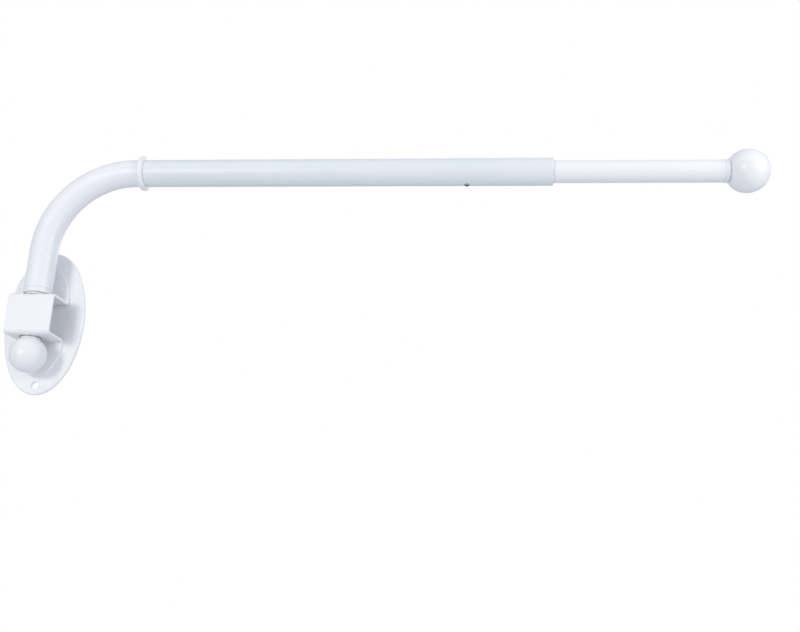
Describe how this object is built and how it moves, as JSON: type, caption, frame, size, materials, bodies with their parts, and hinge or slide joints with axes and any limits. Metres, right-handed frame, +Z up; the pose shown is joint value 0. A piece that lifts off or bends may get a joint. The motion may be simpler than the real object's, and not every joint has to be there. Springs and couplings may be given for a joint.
{
  "type": "swing arm curtain rod",
  "caption": "White swing arm curtain rod: oval wall bracket with a hinged elbow arm and a telescoping rod that ends in a ball.",
  "frame": {"origin": "centre of the wall plate's back face, on the wall", "axes": "+X along the rod at rest, +Y into the wall, +Z up, parallel to the hinge axis"},
  "size_m": [0.443, 0.0275, 0.146],
  "materials": {
    "white_paint": "satin powder coat",
    "tube_paint": "semi-gloss enamel",
    "gloss_white": "gloss enamel",
    "white_nylon": "moulded nylon",
    "zinc_steel": "zinc plated",
    "dark_steel": "black oxide"
  },
  "bodies": {
    "wall_bracket": {"wall_plate": "white_paint", "stirrup": "white_paint", "upper_bush": "white_nylon", "lower_bush": "white_nylon"},
    "arm": {"hinge_pin": "zinc_steel", "pin_insert": "white_nylon", "friction_washer": "zinc_steel", "hinge_ball": "gloss_white", "elbow_tube": "tube_paint", "joint_ring": "gloss_white", "outer_tube": "tube_paint"},
    "inner_rod": {"inner_tube": "tube_paint", "guide_plug": "white_nylon", "finial_insert": "white_nylon", "finial_stud": "zinc_steel", "finial_ball": "gloss_white"},
    "set_screw": {"set_screw": "dark_steel"}
  },
  "joints": [
    {"name": "arm_swing", "type": "hinge", "parent": "wall_bracket", "child": "arm", "pos_m": [0, -0.015, 0], "axis": [0, 0, -1], "range_deg": [0, 180]},
    {"name": "rod_extension", "type": "slide", "parent": "arm", "child": "inner_rod", "axis": [1, 0, 0], "range_m": [-0.098, 0.05]},
    {"name": "set_screw_turn", "type": "hinge", "parent": "arm", "child": "set_screw", "pos_m": [0.2485, -0.015, 0.082], "axis": [0, 0, -1], "range_deg": [0, 360]}
  ]
}
